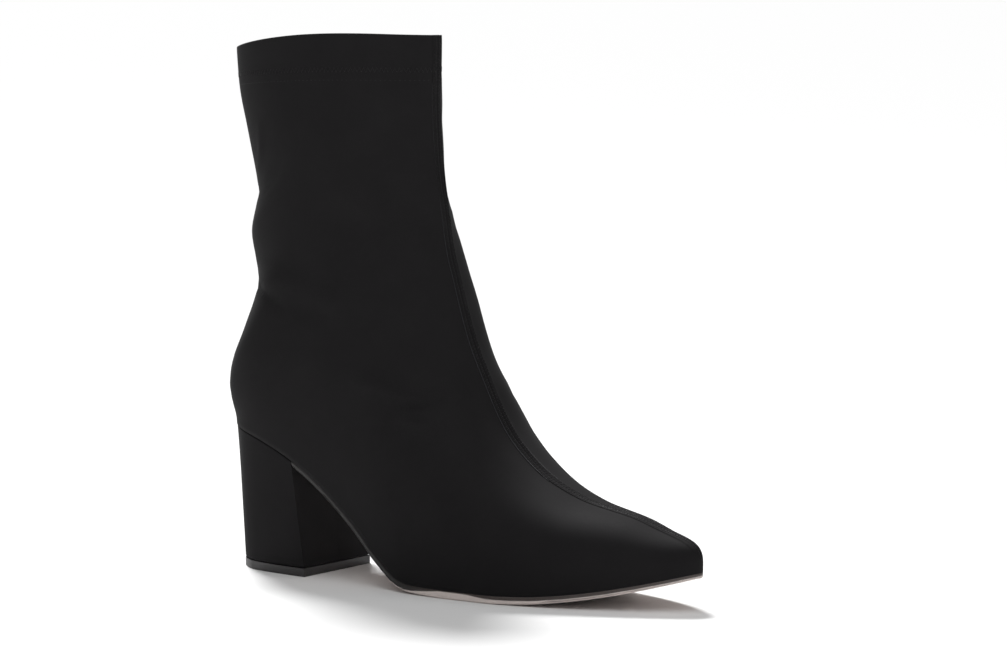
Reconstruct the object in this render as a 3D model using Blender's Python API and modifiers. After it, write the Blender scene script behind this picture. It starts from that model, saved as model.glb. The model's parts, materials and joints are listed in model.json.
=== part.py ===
"""Stretch ankle boot on a block heel.

A right boot stands on the floor at Z = 0 with its toe towards +X and its outer
(lateral) side towards -Y.  The upper is a hollow wall lofted over the form of a
foot.  An insole closes it inside, and an outsole and a covered heel with a top
lift carry it.
"""
import math
from collections import namedtuple

import bmesh
import bpy
from mathutils.bvhtree import BVHTree

MM = 0.001

# Driving sizes, in millimetres
LENGTH = 249.0         # back of the heel to the tip of the toe
BALL_WIDTH = 76.0      # across the upper at the ball of the foot
SEAT_HEIGHT = 67.0     # floor to the foot's seat at the back of the heel
COLLAR_HEIGHT = 245.3  # floor to the front of the collar
WALL = 1.5             # stretch cloth with its lining
HEM_WALL = 2.7         # cloth folded double inside the collar
HEM_DEPTH = 16.0       # collar edge to the hem's stitch line
SEAM_HALF = 3.2        # half the width of the raised front seam
SEAM_RAISE = 0.5       # front seam above the cloth beside it
SEAM_STEP = 0.6        # width of the step up to the seam
SEAM_SHARE = 0.2       # most of a section's side that the seam takes, at the toe
SEAM_FADE = 14.0       # length behind the tip over which the seam rises
SOLE = 3.3             # outsole thickness under the ball
SOLE_TOE = 2.0         # outsole thickness at the tip of the toe
SOLE_WAIST = 2.2       # outsole thickness at the heel's breast
INSOLE = 2.0           # insole thickness
LIFT = 4.2             # floor to the bottom of the heel block
GAP = 0.3              # between pieces that lie on each other
WELD = 0.00002         # metres within which points are one

# Heel block: the breast leans forward and the sides taper towards the floor
BREAST_TOP = 48.2      # X of the breast under the foot
BREAST_FOOT = 53.5     # X of the breast at the top lift
HEEL_BACK_FOOT = 4.5   # X of the heel's back at the top lift
HEEL_FOOT_WIDTH = 49.0
HEEL_INSET = 0.3       # heel edge inside the upper's edge
HEEL_ROUND = 0.8       # rounding of the covered heel's edges
LIFT_ROUND = 0.5       # rounding of the top lift's edges
INSOLE_INSET = 2.1     # insole edge inside the upper's edge, clear of its wall

# Fineness of the meshes, in millimetres
ROW_STEP = 9.0         # between sections of the upper
SIDE_COLUMNS = 11      # columns of each side below the front seam
COLUMN_BIAS = 0.15     # how much closer the columns lie near the sole
HALF_POINTS = 60       # points that draw each half of a section's side
SHARP_ANGLE = math.radians(40.0)  # an edge that turns by more is sharp
HEM_STEP = 0.94        # how near to the hem's own row its step lies
CUP_ROWS = ("breast", "tendon")  # sections between which the heel's cup is evened out
CUP_COLUMNS = 8        # columns of each side that it takes in
CUP_TURNS = 40         # how often its points are evened out
CUP_PULL = 0.5         # how far a point goes each time towards its neighbours' middle
SKIN_STEP = 4.0        # sections and columns of the fine net under it
SKIN_COLUMNS = 40

# Sizes for which the two tables are drawn: other sizes stretch them
PATTERN = dict(length=249.0, ball=76.0, seat=67.0, collar=245.3, ball_top=3.6)

# The side view, a row for each section.  A section runs from the sole's edge up to
# the ridge that carries the front seam.  Past "back" its foot climbs the back seam.
# sole_y and ridge_y sway the section towards the big toe, arch lifts the inner edge
# and rise lifts the outer side.
Profile = namedtuple(
    "Profile", "name sole_x sole_z ridge_x ridge_z sole_y ridge_y arch rise")
PROFILE = [
    Profile("tip", 249.0, 17.0, 249.0, 23.8, 3.0, 3.0, 0.0, 0.0),
    Profile("tip_side", 248.3, 16.8, 248.2, 26.0, 3.0, 3.0, 0.0, 0.0),
    Profile("tip_round", 246.3, 16.3, 246.0, 28.4, 3.0, 3.0, 0.0, 0.0),
    Profile("toe_end", 242.0, 15.2, 241.2, 30.8, 3.0, 3.0, 0.0, 0.0),
    Profile("toe_cap", 234.0, 13.2, 232.0, 33.3, 3.0, 3.0, 0.0, 0.0),
    Profile("toe_box", 219.0, 9.8, 215.0, 38.4, 2.8, 2.6, 0.0, 0.0),
    Profile("vamp", 199.0, 6.3, 193.5, 42.7, 2.2, 1.8, 0.0, 0.0),
    Profile("vamp_top", 178.0, 4.1, 170.8, 52.0, 1.5, 1.2, 0.0, 0.0),
    Profile("ball", 160.0, 3.6, 150.5, 69.6, 1.0, 1.2, 0.0, 0.0),
    Profile("joint", 138.0, 3.6, 135.4, 95.0, 0.5, 1.8, 0.0, 0.0),
    Profile("waist_front", 116.5, 4.5, 128.1, 109.3, 0.0, 2.4, 3.0, 0.0),
    Profile("waist", 101.0, 12.8, 122.9, 124.2, 0.0, 2.6, 5.5, 0.0),
    Profile("waist_back", 84.0, 28.0, 119.0, 136.6, 0.0, 2.9, 5.0, 0.0),
    Profile("shank", 66.0, 42.2, 116.3, 146.5, 0.0, 2.5, 2.5, 0.0),
    Profile("breast", 48.0, 53.4, 114.8, 155.0, 0.0, 2.1, 0.0, 0.0),
    Profile("seat", 30.0, 60.6, 113.9, 163.0, 0.0, 1.7, 0.0, 0.0),
    Profile("seat_back", 15.6, 64.6, 113.2, 169.0, 0.0, 1.4, 0.0, 0.0),
    Profile("seat_turn", 9.8, 65.8, 113.0, 171.2, 0.0, 1.3, 0.0, 0.0),
    Profile("seat_round", 5.1, 66.5, 112.7, 173.2, 0.0, 1.2, 0.0, 0.0),
    Profile("seat_end", 2.2, 66.9, 112.5, 174.8, 0.0, 1.1, 0.0, 0.0),
    Profile("back", 1.2, 67.0, 112.3, 176.0, 0.0, 1.0, 0.0, 0.0),
    Profile("cup", -1.4, 72.5, 112.0, 178.5, 0.0, 0.9, 0.0, 0.0),
    Profile("heel_curve", -1.6, 81.0, 111.4, 183.5, 0.0, 0.8, 0.0, 0.0),
    Profile("counter", 5.4, 101.0, 110.7, 191.0, 0.0, 0.6, 0.0, 0.0),
    Profile("tendon", 12.0, 117.5, 110.4, 198.0, 0.0, 0.4, 0.0, 0.0),
    Profile("ankle_fold", 15.2, 130.0, 110.1, 204.0, 0.0, 0.2, 0.0, 0.0),
    Profile("slack", 10.0, 151.0, 109.9, 211.5, 0.0, 0.1, 0.0, 0.4),
    Profile("shaft_fold", 13.6, 170.0, 109.8, 217.5, 0.0, 0.0, 0.0, 1.0),
    Profile("shaft", 8.3, 196.0, 110.0, 223.5, 0.0, 0.0, 0.0, 2.4),
    Profile("hem", 2.3, 221.1, 110.2, 229.8, 0.0, 0.0, 0.0, 4.0),
    Profile("collar", 0.8, 237.2, 110.3, 245.3, 0.0, 0.0, 0.0, 4.0),
]

# The form of each section.  side_ is half the width at the widest place, which lies
# at "widest" of the way up, and edge_ half the width at the sole.  steep is 1 where
# the wall stands up from the sole and 0 where the section runs round the back seam.
# crown is 2 for a round ridge, less for a peaked one and more for a blunt one.
Girth = namedtuple(
    "Girth", "side_lat side_med edge_lat edge_med widest steep crown")
GIRTH = {
    "tip": Girth(0.0, 0.0, 0.0, 0.0, 0.45, 1.00, 2.00),
    "tip_side": Girth(3.4, 2.6, 3.1, 2.4, 0.45, 1.00, 2.00),
    "tip_round": Girth(6.6, 5.3, 6.0, 4.9, 0.44, 1.00, 2.00),
    "toe_end": Girth(10.4, 9.0, 9.4, 8.1, 0.42, 1.00, 2.00),
    "toe_cap": Girth(15.4, 14.3, 13.9, 12.9, 0.40, 1.00, 2.10),
    "toe_box": Girth(22.8, 21.6, 20.7, 19.5, 0.38, 1.00, 2.30),
    "vamp": Girth(30.4, 28.6, 28.0, 26.0, 0.36, 1.00, 2.50),
    "vamp_top": Girth(35.8, 33.6, 33.0, 30.6, 0.33, 1.00, 2.50),
    "ball": Girth(38.8, 36.2, 35.8, 33.0, 0.31, 1.00, 2.30),
    "joint": Girth(39.2, 36.2, 35.8, 32.0, 0.30, 1.00, 2.15),
    "waist_front": Girth(38.4, 35.4, 34.2, 28.6, 0.31, 1.00, 2.15),
    "waist": Girth(37.2, 34.6, 31.8, 25.6, 0.33, 1.00, 2.20),
    "waist_back": Girth(36.2, 34.0, 29.8, 24.6, 0.35, 1.00, 2.30),
    "shank": Girth(35.4, 33.8, 28.6, 25.4, 0.37, 1.00, 2.30),
    "breast": Girth(35.0, 33.8, 28.0, 26.8, 0.38, 0.95, 2.25),
    "seat": Girth(34.6, 33.6, 26.2, 25.6, 0.38, 0.80, 2.15),
    "seat_back": Girth(34.2, 33.4, 22.7, 22.4, 0.37, 0.64, 2.10),
    "seat_turn": Girth(34.0, 33.3, 18.5, 18.4, 0.37, 0.54, 2.10),
    "seat_round": Girth(33.8, 33.2, 13.1, 13.1, 0.36, 0.42, 2.10),
    "seat_end": Girth(33.6, 33.1, 6.8, 6.8, 0.36, 0.22, 2.10),
    "back": Girth(33.5, 33.0, 0.0, 0.0, 0.36, 0.00, 2.10),
    "cup": Girth(33.1, 32.7, 0.0, 0.0, 0.36, 0.00, 2.09),
    "heel_curve": Girth(32.6, 32.2, 0.0, 0.0, 0.36, 0.00, 2.08),
    "counter": Girth(31.6, 31.2, 0.0, 0.0, 0.38, 0.00, 2.02),
    "tendon": Girth(31.0, 30.6, 0.0, 0.0, 0.42, 0.00, 1.95),
    "ankle_fold": Girth(30.6, 30.2, 0.0, 0.0, 0.45, 0.00, 1.90),
    "slack": Girth(30.4, 30.0, 0.0, 0.0, 0.48, 0.00, 1.87),
    "shaft_fold": Girth(30.2, 29.8, 0.0, 0.0, 0.50, 0.00, 1.86),
    "shaft": Girth(30.0, 29.6, 0.0, 0.0, 0.50, 0.00, 1.86),
    "hem": Girth(29.8, 29.4, 0.0, 0.0, 0.50, 0.00, 1.88),
    "collar": Girth(29.6, 29.2, 0.0, 0.0, 0.50, 0.00, 1.90),
}

Material = namedtuple("Material", "colour roughness")
MATERIALS = {
    "upper": Material((0.012, 0.011, 0.012), 0.62),
    "insole": Material((0.030, 0.028, 0.028), 0.75),
    "outsole": Material((0.480, 0.376, 0.361), 0.55),
    "heel_block": Material((0.012, 0.011, 0.012), 0.62),
    "top_lift": Material((0.040, 0.038, 0.039), 0.50),
}


def clear_scene():
    for obj in list(bpy.data.objects):
        bpy.data.objects.remove(obj, do_unlink=True)


def ease(knots, values, at):
    """Monotone cubic through the values: it never swings past a table's own numbers."""
    steps = [b - a for a, b in zip(knots, knots[1:])]
    slopes = [(b - a) / h for a, b, h in zip(values, values[1:], steps)]
    tangents = [slopes[0]]
    for (h0, h1), (d0, d1) in zip(zip(steps, steps[1:]), zip(slopes, slopes[1:])):
        if d0 * d1 <= 0.0:
            tangents.append(0.0)
        else:
            w0 = 2.0 * h1 + h0
            w1 = h1 + 2.0 * h0
            tangents.append((w0 + w1) / (w0 / d0 + w1 / d1))
    tangents.append(slopes[-1])
    k = 0
    while k < len(steps) - 1 and at > knots[k + 1]:
        k += 1
    h = steps[k]
    t = (at - knots[k]) / h
    low = values[k] * (1.0 + 2.0 * t) + tangents[k] * h * t
    high = values[k + 1] * (3.0 - 2.0 * t) - tangents[k + 1] * h * (1.0 - t)
    return low * (1.0 - t) ** 2 + high * t ** 2


def sized(profile):
    """One section's numbers, stretched from the pattern to the driving sizes."""
    along = LENGTH / PATTERN["length"]
    across = BALL_WIDTH / PATTERN["ball"]
    seat = (SEAT_HEIGHT - SOLE - GAP) / (PATTERN["seat"] - PATTERN["ball_top"])
    up = COLLAR_HEIGHT / PATTERN["collar"]
    row = dict(profile._asdict(), **GIRTH[profile.name]._asdict())
    del row["name"]
    for key in ("sole_x", "ridge_x"):
        row[key] *= along
    for key in ("side_lat", "side_med", "edge_lat", "edge_med", "sole_y", "ridge_y"):
        row[key] *= across
    row["ridge_z"] *= up
    if row["edge_lat"] > 0.0 or profile.name in ("tip", "back"):
        row["sole_z"] = SOLE + GAP + (row["sole_z"] - PATTERN["ball_top"]) * seat
    else:
        row["sole_z"] *= up
    return row


def spread(step):
    """Sections of the whole upper, eased between the rows of the tables."""
    rows = [sized(profile) for profile in PROFILE]
    knots = [0.0]
    counts = []
    for a, b in zip(rows, rows[1:]):
        foot = math.dist((a["sole_x"], a["edge_lat"], a["sole_z"]),
                         (b["sole_x"], b["edge_lat"], b["sole_z"]))
        ridge = math.dist((a["ridge_x"], a["ridge_z"]), (b["ridge_x"], b["ridge_z"]))
        knots.append(knots[-1] + max(foot, ridge))
        counts.append(max(1, round(max(foot, ridge) / step)))
    columns = {key: [row[key] for row in rows] for key in rows[0]}
    sections = []
    for k, count in enumerate(counts):
        for i in range(count):
            at = knots[k] + (knots[k + 1] - knots[k]) * i / count
            sections.append({key: ease(knots, columns[key], at) for key in columns})
    sections.append(rows[-1])
    return sections


def half_section(row, side):
    """Close points of one side of a section, from the ridge down to the sole's edge."""
    sign = -1.0 if side == "lat" else 1.0
    wide = row["side_" + side]
    edge = row["edge_" + side]
    power = 2.0 / row["crown"]
    points = []
    for i in range(HALF_POINTS + 1):
        turn = math.pi / 2.0 * (1.0 - i / HALF_POINTS)
        up = row["widest"] + (1.0 - row["widest"]) * math.sin(turn) ** power
        points.append((up, wide * abs(math.cos(turn)) ** power if i else 0.0))
    for i in range(1, HALF_POINTS + 1):
        turn = math.pi / 2.0 * (1.0 - i / HALF_POINTS)
        stand = turn * 2.0 / math.pi
        bend = 1.0 - math.cos(turn)
        up = row["widest"] * (bend + (stand - bend) * row["steep"])
        points.append((up, edge + (wide - edge) * math.sin(turn)))
    placed = []
    for up, out in points:
        x = row["sole_x"] + (row["ridge_x"] - row["sole_x"]) * up
        y = row["sole_y"] + (row["ridge_y"] - row["sole_y"]) * up + sign * out
        z = row["sole_z"] + (row["ridge_z"] - row["sole_z"]) * up
        if side == "med":
            z += row["arch"] * (1.0 - up) ** 2
        elif wide > 0.0:
            z += row["rise"] * (out / wide) ** 2
        placed.append((x, y, z))
    return placed


def along_path(points, distances):
    """Points at the given distances along a path."""
    reached = [0.0]
    for a, b in zip(points, points[1:]):
        reached.append(reached[-1] + math.dist(a, b))
    found = []
    k = 0
    for wanted in distances:
        while k < len(points) - 2 and reached[k + 1] < wanted:
            k += 1
        length = reached[k + 1] - reached[k]
        t = (wanted - reached[k]) / length if length > 0.0 else 0.0
        t = min(1.0, max(0.0, t))
        a, b = points[k], points[k + 1]
        found.append(tuple(p + (q - p) * t for p, q in zip(a, b)))
    return found


def section_points(row, columns):
    """Columns of one section: lateral edge, over the ridge, to the medial edge."""
    sides = []
    for side in ("lat", "med"):
        path = half_section(row, side)
        length = sum(math.dist(a, b) for a, b in zip(path, path[1:]))
        seam = min(SEAM_HALF, SEAM_SHARE * length)
        step = min(SEAM_STEP, SEAM_SHARE / 4.0 * length)
        distances = [0.0, seam * 0.5, seam, seam + step]
        rest = length - seam - step
        for j in range(1, columns + 1):
            part = j / columns
            distances.append(seam + step + rest * part * (1.0 + COLUMN_BIAS * (1.0 - part)))
        distances[-1] = length
        sides.append(along_path(path, distances))
    return sides[0][::-1] + sides[1][1:]


def new_object(name, collection, parent):
    mesh = bpy.data.meshes.new(name)
    obj = bpy.data.objects.new(name, mesh)
    collection.objects.link(obj)
    obj.parent = parent
    paint(obj)
    return obj


def paint(obj):
    look = MATERIALS[obj.name]
    material = bpy.data.materials.new(obj.name)
    material.use_nodes = True
    shader = material.node_tree.nodes["Principled BSDF"]
    shader.inputs["Base Color"].default_value = (*look.colour, 1.0)
    shader.inputs["Roughness"].default_value = look.roughness
    shader.inputs["Metallic"].default_value = 0.0
    obj.data.materials.append(material)


def metres(point):
    return tuple(c * MM for c in point)


def fill_mesh(obj, bm):
    bmesh.ops.recalc_face_normals(bm, faces=bm.faces)
    bm.to_mesh(obj.data)
    bm.free()
    obj.data.shade_smooth()
    obj.data.set_sharp_from_angle(angle=SHARP_ANGLE)


def close_skin():
    """The upper's outside as a fine net, on which points can be slid about."""
    lines = [section_points(row, SKIN_COLUMNS) for row in spread(SKIN_STEP)]
    width = len(lines[0])
    points = [metres(point) for line in lines for point in line]
    faces = []
    for i in range(len(lines) - 1):
        for j in range(width - 1):
            k = i * width + j
            faces.append((k, k + 1, k + 1 + width, k + width))
    return BVHTree.FromPolygons(points, faces)


def relax_cup(bm):
    """Spread the crowded points of the heel's cup over the same skin."""
    skin = close_skin()
    cup = [vert for vert in bm.verts if vert.tag and not vert.is_boundary]
    for turn in range(CUP_TURNS):
        bmesh.ops.smooth_vert(bm, verts=cup, factor=CUP_PULL, use_axis_x=True,
                              use_axis_y=True, use_axis_z=True)
        for vert in cup:
            vert.co = skin.find_nearest(vert.co)[0]


def make_upper(sections, collection, parent):
    """Open skin of the boot's outside, given its wall by Solidify."""
    obj = new_object("upper", collection, parent)
    bm = bmesh.new()
    weight = bm.verts.layers.deform.verify()
    middle = SIDE_COLUMNS + 3
    seam_points = []
    grid = []
    first, last = (sized(profile) for profile in PROFILE if profile.name in CUP_ROWS)
    for row in sections:
        line = []
        cup = row["sole_x"] < first["sole_x"] and row["ridge_z"] < last["ridge_z"]
        for column, point in enumerate(section_points(row, SIDE_COLUMNS)):
            vert = bm.verts.new(metres(point))
            thick = WALL
            if abs(column - middle) <= 2:
                height = SEAM_RAISE * min(1.0, (LENGTH - point[0]) / SEAM_FADE)
                seam_points.append((vert, height))
                thick += height
            if row.get("hem"):
                thick = HEM_WALL
            vert[weight][0] = thick / HEM_WALL
            vert.tag = cup and min(column, 2 * middle - column) < CUP_COLUMNS
            line.append(vert)
        grid.append(line)
    for low, high in zip(grid, grid[1:]):
        for a, b, c, d in zip(low, low[1:], high[1:], high):
            bm.faces.new((a, b, c, d))
    bm.normal_update()
    side = 1.0 if grid[-1][middle].normal.x > 0.0 else -1.0
    moves = [vert.normal * height * MM * side for vert, height in seam_points]
    for (vert, height), move in zip(seam_points, moves):
        vert.co += move
    bmesh.ops.remove_doubles(bm, verts=bm.verts, dist=WELD)
    relax_cup(bm)
    fill_mesh(obj, bm)
    obj.vertex_groups.new(name="wall")
    wall = obj.modifiers.new("wall", "SOLIDIFY")
    wall.thickness = HEM_WALL * MM
    wall.offset = -1.0
    wall.vertex_group = "wall"
    wall.use_even_offset = True
    wall.use_quality_normals = True
    return obj


def add_hem(sections):
    """Mark the hem's rows, with a close row below, so that the doubled cloth ends in a step."""
    edge = sections[-1]["sole_z"] - HEM_DEPTH
    hem = next(i for i, row in enumerate(sections) if row["sole_z"] > edge - GAP)
    under = {key: low + (sections[hem][key] - low) * HEM_STEP
             for key, low in sections[hem - 1].items()}
    rows = sections[:hem] + [under] + sections[hem:]
    for row in rows[hem + 1:]:
        row["hem"] = 1.0
    return rows


def sole_rows(sections):
    """The sections that stand on the sole, from the tip of the toe to the back."""
    back = max(i for i, row in enumerate(sections) if row["edge_lat"] > 0.0) + 1
    return sections[:back + 1]


def edge_line(rows, side):
    """The upper's lower edge on one side."""
    if side == "lat":
        return [(row["sole_x"], row["sole_y"] - row["edge_lat"], row["sole_z"]) for row in rows]
    return [(row["sole_x"], row["sole_y"] + row["edge_med"], row["sole_z"] + row["arch"])
            for row in rows]


def rail(rows, side, inset):
    """A line inside the upper's lower edge, on the slope between its two edges."""
    sign = -1.0 if side == "lat" else 1.0
    edge = edge_line(rows, side)
    moved = [(edge[0][0] - inset, edge[0][1])]
    for before, (x, y, z), after in zip(edge, edge[1:], edge[2:]):
        dx = after[0] - before[0]
        dy = after[1] - before[1]
        step = sign * inset / math.hypot(dx, dy)
        moved.append((x - dy * step, y + dx * step))
    moved.append((edge[-1][0] + inset, edge[-1][1]))
    kept = [at_x(moved, row["sole_x"]) for row in rows
            if moved[-1][0] + WELD < row["sole_x"] < moved[0][0] - WELD]
    return [(x, y, seat_height(rows, x, y)) for x, y in [moved[0], *kept, moved[-1]]]


def seat_height(rows, x, y):
    """Height of the foot's bed, which lies straight across from edge to edge."""
    outer = at_x(edge_line(rows, "lat"), x)
    inner = at_x(edge_line(rows, "med"), x)
    width = inner[1] - outer[1]
    part = (y - outer[1]) / width if width > 0.0 else 0.0
    return outer[2] + (inner[2] - outer[2]) * part


def at_x(points, x):
    """The place where a rail crosses a plane across the boot."""
    for a, b in zip(points, points[1:]):
        if b[0] <= x <= a[0]:
            t = (a[0] - x) / (a[0] - b[0])
            return tuple(p + (q - p) * t for p, q in zip(a, b))
    raise ValueError("the plane misses the rail")


def raised(points, height):
    return [(x, y, z + height) for x, y, z in points]


def fill_strips(obj, top, bottom):
    """A closed solid between a top and a bottom, each a pair of rails.

    Top and bottom are split along the same diagonals, so that pieces laid on each
    other on a twisted bed keep their gap.
    """
    bm = bmesh.new()
    loops = []
    for corners in zip(top[0], top[1], bottom[1], bottom[0]):
        loops.append([bm.verts.new(metres(corner)) for corner in corners])
    for near, far in zip(loops, loops[1:]):
        for i, j in ((0, 1), (1, 2), (3, 2), (0, 3)):
            bm.faces.new((near[i], near[j], far[j]))
            bm.faces.new((near[i], far[j], far[i]))
    bm.faces.new(loops[0])
    bm.faces.new(loops[-1])
    bmesh.ops.remove_doubles(bm, verts=bm.verts, dist=WELD)
    fill_mesh(obj, bm)


def make_insole(rows, collection, parent):
    obj = new_object("insole", collection, parent)
    low = [rail(rows, side, INSOLE_INSET) for side in ("lat", "med")]
    fill_strips(obj, [raised(edge, INSOLE) for edge in low], low)
    return obj


def make_outsole(rows, collection, parent):
    """From the tip of the toe down over the ball and up the waist to the heel's breast."""
    obj = new_object("outsole", collection, parent)
    top = []
    for side in ("lat", "med"):
        edge = rail(rows, side, 0.0)
        kept = [point for point in edge if point[0] > BREAST_TOP + ROW_STEP / 3.0]
        kept.append(at_x(edge, BREAST_TOP + 2.0 * GAP))
        top.append(raised(kept, -GAP))
    bottom = [[(x, y, z - sole_thickness(x)) for x, y, z in edge] for edge in top]
    fill_strips(obj, top, bottom)
    return obj


def sole_thickness(x):
    """Full thickness between the ball and joint rows, thinner to either end."""
    along = LENGTH / PATTERN["length"]
    front, back = (row.sole_x * along for row in PROFILE if row.name in ("ball", "joint"))
    toe = max(0.0, (x - front) / (LENGTH - front))
    waist = max(0.0, (back - x) / (back - BREAST_TOP))
    return SOLE + (SOLE_TOE - SOLE) * toe + (SOLE_WAIST - SOLE) * waist


def heel_rails(rows):
    """Rails of the heel block's top, from its breast to its back."""
    top = []
    for side in ("lat", "med"):
        edge = rail(rows, side, HEEL_INSET)
        kept = [at_x(edge, BREAST_TOP)]
        kept += [point for point in edge if point[0] < BREAST_TOP - ROW_STEP / 3.0]
        top.append(raised(kept, -GAP))
    return top


def heel_foot(top):
    """Rails of the heel block's bottom: the top's outline, shorter and narrower."""
    back = top[0][-1][0]
    along = (BREAST_FOOT - HEEL_BACK_FOOT) / (BREAST_TOP - back)
    across = HEEL_FOOT_WIDTH / (top[1][0][1] - top[0][0][1])
    return [[(HEEL_BACK_FOOT + (x - back) * along, y * across, LIFT) for x, y, z in edge]
            for edge in top]


def round_edges(obj, width):
    """Round the edges that turn by more than the facets of a curved side do."""
    bevel = obj.modifiers.new("round", "BEVEL")
    bevel.width = width * MM
    bevel.segments = 2
    bevel.limit_method = "ANGLE"
    bevel.angle_limit = SHARP_ANGLE


def make_heel(top, foot, collection, parent):
    obj = new_object("heel_block", collection, parent)
    fill_strips(obj, top, foot)
    round_edges(obj, HEEL_ROUND)
    return obj


def make_lift(foot, collection, parent):
    """A flat outline with half its thickness to each side."""
    outline = bpy.data.curves.new("top_lift", "CURVE")
    outline.dimensions = "2D"
    outline.fill_mode = "BOTH"
    outline.extrude = (LIFT - GAP) / 2.0 * MM
    loop = foot[0] + foot[1][-2::-1]
    spline = outline.splines.new("POLY")
    spline.points.add(len(loop) - 1)
    for point, (x, y, z) in zip(spline.points, loop):
        point.co = (x * MM, y * MM, 0.0, 1.0)
    spline.use_cyclic_u = True
    obj = bpy.data.objects.new("top_lift", outline)
    collection.objects.link(obj)
    obj.parent = parent
    obj.location.z = (LIFT - GAP) / 2.0 * MM
    paint(obj)
    weld = obj.modifiers.new("weld", "WELD")
    weld.merge_threshold = WELD
    round_edges(obj, LIFT_ROUND)
    return obj


def main():
    clear_scene()
    collection = bpy.data.collections.new("stretch_ankle_boot")
    bpy.context.scene.collection.children.link(collection)
    boot = bpy.data.objects.new("boot", None)
    collection.objects.link(boot)
    sections = add_hem(spread(ROW_STEP))
    rows = sole_rows(sections)
    upper = make_upper(sections, collection, boot)
    make_insole(rows, collection, boot)
    make_outsole(rows, collection, boot)
    top = heel_rails(rows)
    foot = heel_foot(top)
    make_heel(top, foot, collection, boot)
    make_lift(foot, collection, boot)
    for axis in (0, 1):
        reach = [vert.co[axis] for vert in upper.data.vertices]
        boot.location[axis] = -(min(reach) + max(reach)) / 2.0


main()
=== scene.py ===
# %% [markdown]
# # A stretch ankle boot, dressed
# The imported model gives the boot's solids at their real size: a hollow upper, an insole,
# an outsole, a covered heel and its top lift. This lesson dresses them. Each solid is
# copied, smoothed and given what a maker's hand leaves on it: folds in the cloth, seams,
# stitches, a painted sole edge. The solids themselves are never moved.

# %% Load the frame
import json
import math
from collections import namedtuple

import bpy
import numpy as np
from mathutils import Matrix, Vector
from mathutils.bvhtree import BVHTree

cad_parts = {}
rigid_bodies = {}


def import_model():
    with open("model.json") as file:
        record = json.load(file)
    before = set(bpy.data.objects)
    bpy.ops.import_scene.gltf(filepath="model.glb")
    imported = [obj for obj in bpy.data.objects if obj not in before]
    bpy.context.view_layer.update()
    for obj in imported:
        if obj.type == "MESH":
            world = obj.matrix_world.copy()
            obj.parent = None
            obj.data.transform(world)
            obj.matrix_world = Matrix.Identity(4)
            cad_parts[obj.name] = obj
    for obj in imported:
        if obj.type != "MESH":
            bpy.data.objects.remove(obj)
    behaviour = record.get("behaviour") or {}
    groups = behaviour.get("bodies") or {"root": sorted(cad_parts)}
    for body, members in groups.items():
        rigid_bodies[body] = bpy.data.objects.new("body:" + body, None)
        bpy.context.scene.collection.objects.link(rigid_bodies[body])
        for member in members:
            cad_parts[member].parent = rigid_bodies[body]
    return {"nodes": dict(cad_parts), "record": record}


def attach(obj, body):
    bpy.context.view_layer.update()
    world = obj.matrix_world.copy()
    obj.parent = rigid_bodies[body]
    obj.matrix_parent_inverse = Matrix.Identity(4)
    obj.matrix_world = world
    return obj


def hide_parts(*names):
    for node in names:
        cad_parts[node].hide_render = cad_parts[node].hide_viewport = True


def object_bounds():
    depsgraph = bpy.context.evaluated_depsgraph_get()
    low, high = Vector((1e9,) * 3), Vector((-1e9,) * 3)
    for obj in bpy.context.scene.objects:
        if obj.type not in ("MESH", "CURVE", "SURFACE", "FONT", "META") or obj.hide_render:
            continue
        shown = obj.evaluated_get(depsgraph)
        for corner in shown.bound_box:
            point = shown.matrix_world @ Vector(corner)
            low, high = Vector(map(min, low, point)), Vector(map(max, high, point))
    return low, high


for leftover in list(bpy.data.objects):
    bpy.data.objects.remove(leftover)

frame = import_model()
cad_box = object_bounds()
MM = 0.001
print("nodes:", sorted(frame["nodes"]))
print("size in mm:", [round((high - low) / MM, 1) for low, high in zip(*cad_box)])

# %% [markdown]
# ## The camera
# The boot is seen from its outer side and a little from the front, from just above
# table height, through a long lens. A camera can be aimed with a constraint, but here
# its place is worked out from the angle and the distance to a point inside the boot,
# because these are what one reads off a picture. Blender's camera looks down its own
# -Z axis, so a quarter turn about X makes it look level.

# %% Place the camera
VIEW_AZIMUTH = math.radians(35.6)
VIEW_PITCH = math.radians(6.0)
VIEW_DISTANCE = 1777.0 * MM
VIEW_TARGET = Vector((21.7, 0.6, 113.6)) * MM
VIEW_LENS = 143.9            # in millimetres
FAR_CLIP = 1000.0            # in metres, past the far edge of the floor

back = Vector((math.sin(VIEW_AZIMUTH) * math.cos(VIEW_PITCH),
               -math.cos(VIEW_AZIMUTH) * math.cos(VIEW_PITCH),
               math.sin(VIEW_PITCH)))
bpy.ops.object.camera_add(location=VIEW_TARGET + back * VIEW_DISTANCE,
                          rotation=(math.pi / 2 - VIEW_PITCH, 0.0, VIEW_AZIMUTH))
camera = bpy.context.active_object
camera.data.lens = VIEW_LENS
camera.data.clip_end = FAR_CLIP
bpy.context.scene.camera = camera
print("camera at", [round(c, 3) for c in camera.location])

# %% [markdown]
# ## Copies to work on
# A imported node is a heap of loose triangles. A copy is merged first, so that neighbours
# share their points, and its triangles are joined to quads, because edge loops and
# subdivision both follow quads. Topology influence makes the tool prefer pairs that
# continue the grid around them. Subdivision draws a cage in, which would make every piece
# a little too small. So the cage is first pushed out by what the skin lost, a few times
# over, until the skin passes through the points of the solid.

# %% Helpers for copying and selecting
MERGE = 0.02 * MM
WIDE_OPEN = math.radians(178.0)
GRID_INFLUENCE = 1.6
SKIN_LEVELS = 2
FIT_ROUNDS = 3


def activate(piece):
    bpy.ops.object.select_all(action="DESELECT")
    bpy.context.view_layer.objects.active = piece
    piece.select_set(True)


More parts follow.
